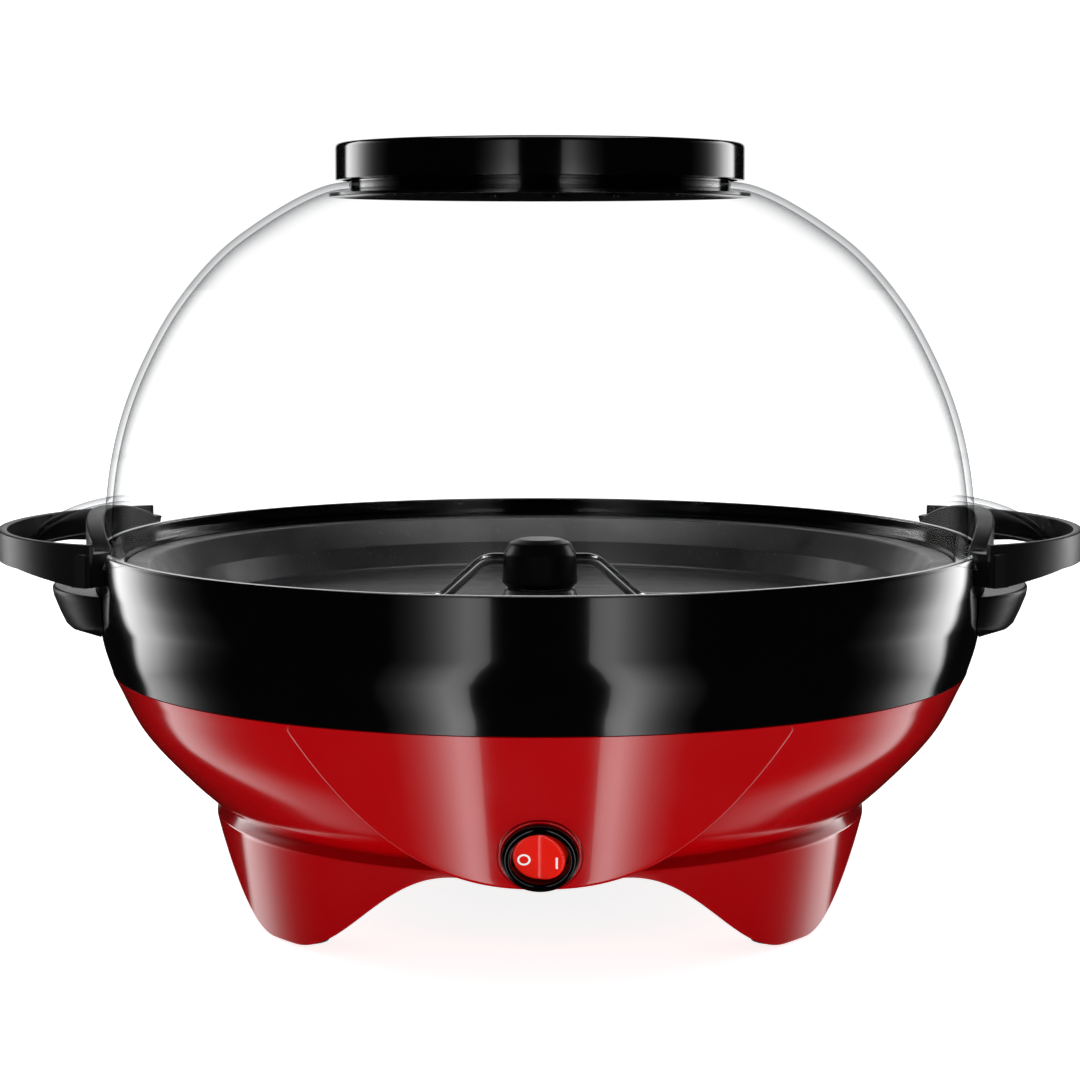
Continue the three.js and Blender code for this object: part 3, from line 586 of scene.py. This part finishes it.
def base_handles():
    """Half-oval brackets whose underside rises towards both ends."""
    section = rounded([(8, 88.6), (10, 89.8), (29.6, 95.1, 2.5), (31.8, 97), (33.9, 101.3), (36, 106.4),
                       (36.6, BASE_HANDLE_TOP, 1.6), (8, BASE_HANDLE_TOP)])
    sections = []
    for t in np.linspace(-BASE_HANDLE_SWEEP, BASE_HANDLE_SWEEP, 75):
        depth = 1 - BASE_HANDLE_RISE * (t / BASE_HANDLE_SWEEP) ** 2
        along = math.cos(math.radians(t))
        y = BASE_HANDLE_HALF_WIDTH * math.sin(math.radians(t))
        loop = []
        for reach, z in section:
            height = BASE_HANDLE_TOP - (BASE_HANDLE_TOP - z) * depth
            loop.append((BASE_HANDLE_CENTRE + reach * along, y, height))
        sections.append(loop)
    verts, faces = grid(sections)
    count = len(section)
    last = len(verts) - count
    faces += [tuple(range(count)), tuple(last + i for i in reversed(range(count)))]
    ring_space = revolve([(0, 80), (145.5, 80), (148.8, 91.5), (150.5, 105.2), (150.7, 112), (0, 112)], FINE)
    handle = combine(outward(verts, faces), ("DIFFERENCE", ring_space))
    for name, solid in (("right", handle), ("left", mirrored(handle))):
        replaced = ["base_handle_" + name]
        weight_normals(make_piece("side_handle_" + name, *solid, DARK_SATIN, "base", replaced, "black_satin"))


def cord_gland():
    profile = rounded([(3.4, 137.5), (6, 137.5), (6, 143.8), (9, 143.8), (8.4, 146, 1), (5.4, 149.5, 0.5),
                       (3.4, 149.5, 0.4)])
    gland = combine(sideways(revolve(profile, 64)))
    make_piece("cord_bush", *gland, SATIN, "base", ["cord_gland"], "black_satin")


def foot_pads():
    profile = [(0, 0)]
    for groove in (2.0, 3.4, 4.8):
        profile += [(groove - 0.35, 0), (groove - 0.2, 0.35), (groove + 0.2, 0.35), (groove + 0.35, 0)]
    profile += [(5.8, 0), (6.3, 0.2), (6.5, 0.7), (6.5, 3.5), (6.3, 3.7), (0, 3.7)]
    pad = revolve(profile, 64)
    for number, (x, y) in enumerate(foot_places(), 1):
        lowest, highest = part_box(f"foot_pad_{number}")
        centre = (lowest + highest) / 2 / MM
        solid = moved(pad, np.eye(3), (centre[0], centre[1], 0))
        make_piece(f"rubber_foot_{number}", *solid, RUBBER, "base", [f"foot_pad_{number}"], "rubber")


def cover_screws():
    head = revolve([(0, 23), (1.6, 23), (2.6, 23.25), (3.1, 23.8), (3.2, 24.3), (3.1, 24.9), (1.4, 24.9),
                    (1.4, 33), (0, 34)], 48)
    bars = []
    for x, y in ((1.9, 0.32), (0.32, 1.9)):
        corners = [(-x, -y), (x, -y), (x, y), (-x, y)]
        verts = np.array([(a, b, z) for z in (22, 24.2) for a, b in corners])
        faces = [(3, 2, 1, 0), (4, 5, 6, 7), (0, 1, 5, 4), (1, 2, 6, 5), (2, 3, 7, 6), (3, 0, 4, 7)]
        bars.append(("DIFFERENCE", (verts, faces)))
    screw = combine(head, *bars)
    for number in range(1, 5):
        lowest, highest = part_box(f"cover_screw_{number}")
        centre = (lowest + highest) / 2 / MM
        solid = moved(screw, np.eye(3), (centre[0], centre[1], 0))
        make_piece(f"underside_screw_{number}", *solid, STEEL, "base", [f"cover_screw_{number}"], "steel", 25)


# ---------------------------------------------------------------- switch
ROCKER_RADIUS = 8
ROCKER_DIP = ROCKER_RADIUS * math.tan(math.radians(10))
ROCKER_TURN = math.radians(-10)
MARK_LIFT = 0.05
MARK_SINK = -0.1


def rocker_front(x):
    """Height of the rocker's hollowed front over its side-to-side place."""
    return 1.2 + ROCKER_DIP * (math.sqrt((x / ROCKER_RADIUS) ** 2 + 0.012) - 0.1)


def on_rocker(solid):
    """Tilts a solid with the rocker, then sets it on the apron."""
    c, s = math.cos(ROCKER_TURN), math.sin(ROCKER_TURN)
    return on_apron(moved(solid, [[c, 0, s], [0, 1, 0], [-s, 0, c]], (0, 0, -1)))


def rocker():
    """Rings from the middle of the front out over the edge, each a little lower; the last is the back."""
    radii = [*np.linspace(0.4, 7.3, 16), 7.6, 7.82, 7.95, 7.95, 7.95]
    drops = [0] * 16 + [0.06, 0.22, 0.5, 1.4, None]
    rows = []
    for radius, drop in zip(radii, drops):
        ring = []
        for a in np.linspace(0, FULL_TURN, 96, endpoint=False):
            x, y = radius * math.cos(a), radius * math.sin(a)
            ring.append((x, y, -2.3 if drop is None else rocker_front(x) - drop))
        rows.append(ring)
    verts, faces = grid(rows)
    last = len(verts) - 96
    faces += [tuple(reversed(range(96))), tuple(last + i for i in range(96))]
    solid = on_rocker(outward(verts, faces))
    weight_normals(make_piece("rocker_cap", *solid, LENS, "rocker", ["rocker"], "lens_red"))


def mark(name, outline_outer, outline_inner):
    """A thin raised print on the rocker's front, between two outlines or inside one."""
    loops = []
    for lift, outline in ((MARK_LIFT, outline_outer), (MARK_LIFT, outline_inner),
                          (MARK_SINK, outline_inner), (MARK_SINK, outline_outer)):
        loops.append([(x, y, rocker_front(x) + lift) for x, y in outline])
    solid = outward(*grid(loops, wrap_rows=True))
    make_piece(name, *on_rocker(solid), MARKS, "rocker")


def rocker_marks():
    turn = np.linspace(0, FULL_TURN, 48, endpoint=False)
    circle = [[(-4.5 + r * math.cos(a), -1.0 + r * math.sin(a)) for a in turn] for r in (1.95, 1.35)]
    mark("off_mark", *circle)
    bars = []
    for half_x, half_y in ((0.32, 1.95), (0.02, 1.6)):
        corners = [(5.4 - half_x, -1.0 - half_y), (5.4 + half_x, -1.0 - half_y),
                   (5.4 + half_x, -1.0 + half_y), (5.4 - half_x, -1.0 + half_y)]
        bars.append(corners)
    mark("on_mark", *bars)


def switch_body():
    bezel = rounded([(0, -13), (9.8, -13), (9.8, 0.5), (11.5, 0.5), (11.5, 1.5, 0.5), (10.6, 2.4, 0.9),
                     (9.2, 2.4, 0.5), (8.6, 1.6, 0.4), (8.6, -8), (0, -8)], False)
    spades = []
    for x in (-5, 5):
        corners = [(x - 0.4, -3), (x + 0.4, -3), (x + 0.4, 3), (x - 0.4, 3)]
        verts = np.array([(a, b, z) for z in (-20, -12.9) for a, b in corners])
        faces = [(3, 2, 1, 0), (4, 5, 6, 7), (0, 1, 5, 4), (1, 2, 6, 5), (2, 3, 7, 6), (3, 0, 4, 7)]
        spades.append(("UNION", (verts, faces)))
    solid = combine(revolve(bezel, 128), *spades)
    make_piece("switch_bezel", *on_apron(solid), BLACK, "base", ["switch_body"], "black_gloss")


# ---------------------------------------------------------------- heating plate and stirrer
def heating_plate():
    profile = rounded([
        (140.5, 115.3), (PLATE_RADIUS, PLATE_RIM, 0.7), (132.8, PLATE_RIM, 2), (126, 109, 3),
        (121.3, 100.8, 2.5), (118.5, 99.6, 1.5), (14.5, 99.6, 1), (12, 107, 1), (9, 107, 0.6), (9, 92),
        (12.5, 92), (12.5, 97), (118, 97), (120.5, 97.8), (124.5, 106), (131.2, 115.3)])
    make_piece("hot_plate", *revolve(profile, FINE), COATING, "base", ["heating_plate"], "nonstick")


ROD_RADIUS = 2
ROD_BEND = 9
ROD_ROUTE = [(-114, 108.2), (-105, 103.2), (-34, 103.2), (-19, 117), (19, 117), (34, 103.2), (105, 103.2),
             (114, 108.2)]


def stirrer():
    bends = [(x, z, ROD_BEND) for x, z in ROD_ROUTE]
    path = [(x, 0, z) for x, z in rounded(bends, closed=False, steps=8)]
    rod = tube(path, ROD_RADIUS, 24)
    make_piece("stirring_wire", *rod, POLISHED, "stirrer", ["stirrer_rod"], "steel")
    profile = rounded([(0, HUB_BOTTOM), (11.5, HUB_BOTTOM), (13, HUB_BOTTOM + 1.5, 1), (12.4, 119, 2),
                       (10.5, 122.6, 2), (7, HUB_TOP, 2), (0, HUB_TOP)], False)
    socket = revolve([(0, 106), (4.6, 106), (4.6, 113.1), (0, 113.1)], 6)
    rod_hole = tube(path, ROD_RADIUS + 0.2, 24)
    hub = combine(revolve(profile, 96), ("DIFFERENCE", socket), ("DIFFERENCE", rod_hole))
    weight_normals(make_piece("stirrer_knob", *hub, SATIN, "stirrer", ["stirrer_hub"], "black_satin"))


# ---------------------------------------------------------------- dome, handles, butter well and cap
DOME_WALL = 2.2
DOME_OUTLINE = [(147.2, DOME_RIM), (146.9, 135.8), (144.7, 152.9), (140.2, 170), (133, 187), (123.1, 204.1),
                (108.7, 221.1), (95.5, 231.4), (80, 240.6), (71, 244.1), (64.5, DOME_TOP)]
EAR_CENTRE = np.array([140, 0, 118])
EAR_SIZE = np.array([36, 62, 20.4])
EAR_WALL = 2
EAR_EDGE = 121
BAND_CENTRE = 125
BAND_REACH = BAND_TIP - BAND_CENTRE
BAND_HALF_WIDTH = 70.5
BAND_THICKNESS = 3
BAND_TOP = 129.2
NECK_CENTRE = (143.7, 59.8)


def ellipsoid(size):
    turn = np.linspace(0, math.pi, 73)
    ball = revolve([(max(math.sin(a), 0), -math.cos(a)) for a in turn], 144)
    return moved(ball, np.diag(size), EAR_CENTRE)


def ear_shell():
    below_edge = revolve([(0, 60), (260, 60), (260, EAR_EDGE), (0, EAR_EDGE)], 64)
    inside = revolve([(0, 50), (146, 50), (146, 200), (0, 200)], FINE)
    rim = revolve([(0, 50), (151.2, 50), (151.2, 124.3), (0, 124.3)], FINE)
    return combine(ellipsoid(EAR_SIZE), ("DIFFERENCE", ellipsoid(EAR_SIZE - EAR_WALL)),
                   ("DIFFERENCE", below_edge), ("DIFFERENCE", inside), ("DIFFERENCE", rim))


def dome():
    outer = spline(DOME_OUTLINE, 90)
    inner = offset(outer, DOME_WALL)[::-1]
    hood = ear_shell()
    solid = combine(revolve([*outer, *inner], FINE), ("UNION", hood), ("UNION", mirrored(hood)))
    weight_normals(make_piece("clear_dome", *solid, CLEAR, "bowl", ["dome"], "clear", 30))


def band_bottom(x):
    return float(np.interp(x, (149, 157, 171, 186), (115.3, 116.6, 118.8, 118.8)))


def loop_band():
    """The carrying loop: a flat strip bent round in half an oval, with rounded edges."""
    start = math.acos((143 - BAND_CENTRE) / BAND_REACH)
    sections = []
    for t in np.linspace(-start, start, 97):
        along = np.array([math.cos(t), math.sin(t)])
        outer = np.array([BAND_CENTRE, 0]) + along * (BAND_REACH, BAND_HALF_WIDTH)
        inner = np.array([BAND_CENTRE, 0]) + along * (BAND_REACH - BAND_THICKNESS,
                                                      BAND_HALF_WIDTH - BAND_THICKNESS)
        lowest = band_bottom(outer[0])
        loop = rounded([(0, lowest, 1.2), (1, lowest, 2.2), (1, BAND_TOP, 0.9), (0, BAND_TOP, 0.9)], steps=4)
        sections.append([(*(inner + (outer - inner) * share), z) for share, z in loop])
    verts, faces = grid(sections)
    count = len(sections[0])
    last = len(verts) - count
    faces += [tuple(range(count)), tuple(last + i for i in reversed(range(count)))]
    return outward(verts, faces)


def sector(profile_at, half_angle, steps=49):
    """A wall round Z between two angles either side of +X, from a section given for each angle."""
    sections = []
    for a in np.radians(np.linspace(-half_angle, half_angle, steps)):
        sections.append([(r * math.cos(a), r * math.sin(a), z) for r, z in profile_at(a)])
    verts, faces = grid(sections)
    count = len(sections[0])
    last = len(verts) - count
    faces += [tuple(range(count)), tuple(last + i for i in reversed(range(count)))]
    return outward(verts, faces)


def under_ear(angle, radius=153.4, room=2.4):
    """Height just under the ear's inner face, at an angle and radius."""
    size = EAR_SIZE - room
    x, y = radius * math.cos(angle) - EAR_CENTRE[0], radius * math.sin(angle)
    share = 1 - (x / size[0]) ** 2 - (y / size[1]) ** 2
    return EAR_CENTRE[2] + size[2] * math.sqrt(max(share, 0.02))


def bracket_low(angle):
    end = 1.3 * (1 - math.cos(max(0, abs(math.degrees(angle)) - 21) * math.pi / 4))
    top = min(125, under_ear(angle))
    return rounded([(150.9, BRACKET_BOTTOM + end), (153.4, BRACKET_BOTTOM + end, 0.8), (153.4, top, 0.3),
                    (150.9, top)])


def bracket_high(angle):
    top = min(BRACKET_TOP, under_ear(angle))
    return rounded([(147.6, 124.3), (153.4, 124.3), (153.4, top, 0.8), (147.6, top, 0.8)])


def band_neck(side):
    """The post that joins the loop to the dome's rim, drawn in a little at its top and bottom."""
    plan = rounded([(137, 55), (140, 62.5), (144.5, 67.5), (150, 63.5, 1.5), (147, 51)], steps=4)
    levels = [(BRACKET_BOTTOM, 0.985), (BRACKET_BOTTOM + 0.8, 1), (125.2, 1), (126, 0.99)]
    centre_x, centre_y = NECK_CENTRE
    rows = []
    for z, k in levels:
        rows.append([(centre_x + (x - centre_x) * k, side * (centre_y + (y - centre_y) * k), z)
                     for x, y in plan])
    verts, faces = grid(rows)
    last = len(verts) - len(plan)
    faces += [tuple(range(len(plan))), tuple(last + i for i in reversed(range(len(plan))))]
    return outward(verts, faces)


def bowl_handles():
    rim = revolve([(0, 80), (150.9, 80), (150.9, 124.3), (0, 124.3)], FINE)
    dome_space = revolve([(0, 100), (147.6, 100), (147.6, 150), (0, 150)], FINE)
    ear_space = combine(ellipsoid(EAR_SIZE + 0.4),
                        ("DIFFERENCE", revolve([(0, 50), (260, 50), (260, 120.6), (0, 120.6)], 64)))
    arms = combine(loop_band(), ("UNION", band_neck(1)), ("UNION", band_neck(-1)), ("DIFFERENCE", rim),
                   ("DIFFERENCE", dome_space), ("DIFFERENCE", ear_space))
    handle = combine(arms, ("UNION", sector(bracket_low, 22.5)), ("UNION", sector(bracket_high, 20)))
    for name, solid in (("right", handle), ("left", mirrored(handle))):
        replaced = ["bowl_handle_" + name]
        piece = make_piece("loop_handle_" + name, *solid, SATIN, "bowl", replaced, "black_satin")
        piece.visible_glossy = False
        weight_normals(piece)


VENT_COUNT = 15
VENT_STEP = 24
VENT_CIRCLE = 54.6
VENT_RADIUS = 4.5
CAP_WALL = 2.5


def vent_disc():
    profile = rounded([
        (0, WELL_FLOOR + 9), (36.6, WELL_FLOOR + 9, 1.5), (39.6, WELL_FLOOR + 3.6, 1.2),
        (WELL_RADIUS, WELL_FLOOR, 0.4), (WELL_RADIUS, WELL_FLOOR + 1.2), (64.1, WELL_FLOOR + 1.9),
        (64.1, COLLAR_TOP, 0.6),
        (62.2, COLLAR_TOP, 0.6), (62.2, WELL_FLOOR + 2.9, 0.8), (41.4, WELL_FLOOR + 5.2, 0.8),
        (38.3, WELL_FLOOR + 10.8, 1.5), (0, WELL_FLOOR + 10.8)], False)
    drill = revolve([(0, 235), (VENT_RADIUS, 235), (VENT_RADIUS, 250), (0, 250)], 40)
    holes = []
    for hole in range(VENT_COUNT):
        angle = math.radians(VENT_STEP * (hole + 0.5))
        place = (VENT_CIRCLE * math.cos(angle), VENT_CIRCLE * math.sin(angle), 0)
        holes.append(("DIFFERENCE", moved(drill, np.eye(3), place)))
    solid = combine(revolve(profile, 192), *holes)
    weight_normals(make_piece("butter_well", *solid, BLACK, "bowl", ["vent_disc"], "black_gloss", 25))


def cap():
    profile = rounded([
        (0, CAP_TOP - CAP_WALL), (CAP_RADIUS - CAP_WALL, CAP_TOP - CAP_WALL, 1),
        (CAP_RADIUS - CAP_WALL, CAP_BOTTOM), (CAP_RADIUS, CAP_BOTTOM, 0.4), (CAP_RADIUS, CAP_TOP, 1.8),
        (0, CAP_TOP)], False)
    make_piece("top_cap", *revolve(profile, FINE), BLACK, "lid", ["cap"], "black_gloss")


# ---------------------------------------------------------------- pieces kept from the frame
KEPT = {
    "bottom_cover": MATTE, "shaft_bush": NYLON, "reflector_pan": STEEL, "heating_element": STEEL,
    "thermostat": STEEL, "thermal_fuse": STEEL, "motor_can": STEEL, "motor_cover": STEEL,
    "stator_coil": COPPER, "rotor": NYLON, "rotor_axle": POLISHED, "idler_gears": NYLON,
    "idler_axle": POLISHED, "drive_shaft": BRASS, "motor_bracket": STEEL, "bracket_spacer_left": NYLON,
    "bracket_spacer_right": NYLON, "bracket_bolt_left": STEEL, "bracket_bolt_right": STEEL,
}


def dress_kept_nodes():
    for name, material in KEPT.items():
        for place in nodes[name].material_slots:
            place.material = material


# ---------------------------------------------------------------- floor, lights and camera
FLOOR_SIZE = 30.0
PANEL_RADIUS = 2.0
VIEW_DISTANCE = 0.881
VIEW_HEIGHT = 0.2211
VIEW_PITCH = 6.324


def panel(name, angles, strengths, heights):
    """A curved softbox round the object, whose glow follows the angle from the front, in degrees."""
    bright = bpy.data.materials.new(name)
    bright.use_nodes = True
    tree = bright.node_tree
    tree.nodes.clear()
    glow = add_node(tree, "ShaderNodeEmission")
    end = add_node(tree, "ShaderNodeOutputMaterial")
    level = add_node(tree, "ShaderNodeAttribute", attribute_name="level")
    tree.links.new(level.outputs["Fac"], glow.inputs["Strength"])
    tree.links.new(glow.outputs["Emission"], end.inputs["Surface"])
    columns = np.linspace(angles[0], angles[-1], 65)
    levels = np.interp(columns, angles, strengths)
    near = columns[np.argmin(np.abs(columns))]
    rows = []
    glow_levels = []
    for z, lean, spread, gain in heights:
        turned = np.radians(near + (columns - near) * spread - math.copysign(1, near) * lean)
        rows.append([(PANEL_RADIUS * math.sin(a), -PANEL_RADIUS * math.cos(a), z) for a in turned])
        glow_levels.append(levels * gain)
    verts, faces = grid(rows, wrap_columns=False)
    mesh = bpy.data.meshes.new(name)
    mesh.from_pydata([tuple(v) for v in verts], [], faces)
    attribute = mesh.attributes.new("level", "FLOAT", "POINT")
    attribute.data.foreach_set("value", np.concatenate(glow_levels).astype(np.float32))
    mesh.materials.append(bright)
    piece = bpy.data.objects.new(name, mesh)
    bpy.context.scene.collection.objects.link(piece)
    piece.visible_camera = False
    piece.visible_transmission = False
    piece.visible_shadow = False


# Each softbox: angles from the front in degrees and the glow at each. Its heights are in metres,
# each with how far it leans towards the front there, how it spreads, and its share of the glow.
FRONT_ANGLES = (11.5, 13.8, 17.2, 20.6, 24, 27.5, 31, 36)
FRONT_GLOW = (1.3, 1.9, 2.15, 1.4, 0.76, 0.33, 0.13, 0.0)
FRONT_HEIGHTS = ((-3.4, -6, 1.1, 1.5), (-1.9, -7.5, 1.1, 1.6), (-0.8, -6, 1.05, 1.4), (-0.4, 0, 1, 1),
                 (-0.1, 0, 1, 1), (0.3, 0, 1, 0.5), (0.9, 0, 1, 0.3))
SIDE_ANGLES = (90, 94, 99, 104.1, 109.5, 115.1, 121.5, 128.3, 133, 135, 137.5)
SIDE_GLOW = (0.0, 0.04, 0.115, 0.29, 0.78, 1.76, 3.3, 4.1, 4.3, 2.6, 0.0)
SIDE_HEIGHTS = ((-4, -4, 1, 0), (-2.4, -4, 1, 0.08), (-1.4, 0, 1, 0.22), (-0.65, 6, 1, 0.4),
                (-0.34, 12, 1, 0.9), (-0.2, 7, 1, 1), (-0.1, 0, 1, 1), (1.2, 0, 1, 0.9))
BACK_ANGLES = (158, 164, 180, 196, 202)
BACK_GLOW = (0.0, 1.0, 1.0, 1.0, 0.0)
BACK_HEIGHTS = ((0.03, 0, 1, 0), (0.12, 0, 1, 1), (1.2, 0, 1, 1), (1.6, 0, 1, 0))


def lights():
    for side, sign in (("right", 1), ("left", -1)):
        for name, steps, strengths, heights in (
                ("front_panel_", FRONT_ANGLES, FRONT_GLOW, FRONT_HEIGHTS),
                ("side_panel_", SIDE_ANGLES, SIDE_GLOW, SIDE_HEIGHTS)):
            panel(name + side, (sign * np.array(steps))[::sign], np.array(strengths)[::sign], heights)
    panel("back_panel", np.array(BACK_ANGLES), np.array(BACK_GLOW), BACK_HEIGHTS)
    overhead = bpy.data.lights.new("overhead", "AREA")
    overhead.shape = "RECTANGLE"
    overhead.size = 1.6
    overhead.size_y = 1.2
    overhead.energy = 16
    lamp = bpy.data.objects.new("overhead", overhead)
    lamp.location = (0, -0.1, 1.7)
    bpy.context.scene.collection.objects.link(lamp)


def world():
    room = bpy.data.worlds.new("room")
    room.use_nodes = True
    bpy.context.scene.world = room
    tree = room.node_tree
    tree.nodes.clear()
    path = add_node(tree, "ShaderNodeLightPath")
    seen = add_node(tree, "ShaderNodeBackground", Color=(1, 1, 1, 1), Strength=1.06)
    fill = add_node(tree, "ShaderNodeBackground", Color=(1, 1, 1, 1), Strength=0.35)
    dark = add_node(tree, "ShaderNodeBackground", Color=(1, 1, 1, 1), Strength=0.004)
    first = add_node(tree, "ShaderNodeMixShader")
    second = add_node(tree, "ShaderNodeMixShader")
    end = add_node(tree, "ShaderNodeOutputWorld")
    tree.links.new(path.outputs["Is Glossy Ray"], first.inputs["Fac"])
    tree.links.new(fill.outputs["Background"], first.inputs[1])
    tree.links.new(dark.outputs["Background"], first.inputs[2])
    tree.links.new(path.outputs["Is Camera Ray"], second.inputs["Fac"])
    tree.links.new(first.outputs["Shader"], second.inputs[1])
    tree.links.new(seen.outputs["Background"], second.inputs[2])
    tree.links.new(second.outputs["Shader"], end.inputs["Surface"])


def floor():
    half = FLOOR_SIZE / 2
    mesh = bpy.data.meshes.new("floor")
    corners = [(-half, -half, 0), (half, -half, 0), (half, half, 0), (-half, half, 0)]
    mesh.from_pydata(corners, [], [(0, 1, 2, 3)])
    piece = bpy.data.objects.new("floor", mesh)
    bpy.context.scene.collection.objects.link(piece)
    material, tree, shader = new_material("pale_floor")
    drift = noise(tree, 3)
    colour = blend_colours(tree, drift, (0.86, 0.86, 0.86), (0.9, 0.9, 0.9))
    tree.links.new(colour, shader.inputs["Base Color"])
    shader.inputs["Roughness"].default_value = 0.9
    shader.inputs["Specular IOR Level"].default_value = 0.0
    shader.inputs["Emission Color"].default_value = (1, 1, 1, 1)
    shader.inputs["Emission Strength"].default_value = 0.85
    mesh.materials.append(material)
    piece.visible_glossy = False


def camera():
    lens = bpy.data.cameras.new("camera")
    lens.lens = 86.1
    lens.sensor_width = 36
    lens.clip_end = 20
    viewer = bpy.data.objects.new("camera", lens)
    viewer.location = (0, -VIEW_DISTANCE, VIEW_HEIGHT)
    viewer.rotation_euler = (math.radians(90 - VIEW_PITCH), 0, 0)
    bpy.context.scene.collection.objects.link(viewer)
    bpy.context.scene.camera = viewer
    bpy.context.scene.view_settings.view_transform = "Standard"


camera()
world()
floor()
lights()
base_shell()
ring_housing()
base_handles()
cord_gland()
foot_pads()
cover_screws()
rocker()
rocker_marks()
switch_body()
heating_plate()
stirrer()
dome()
bowl_handles()
vent_disc()
cap()
dress_kept_nodes()
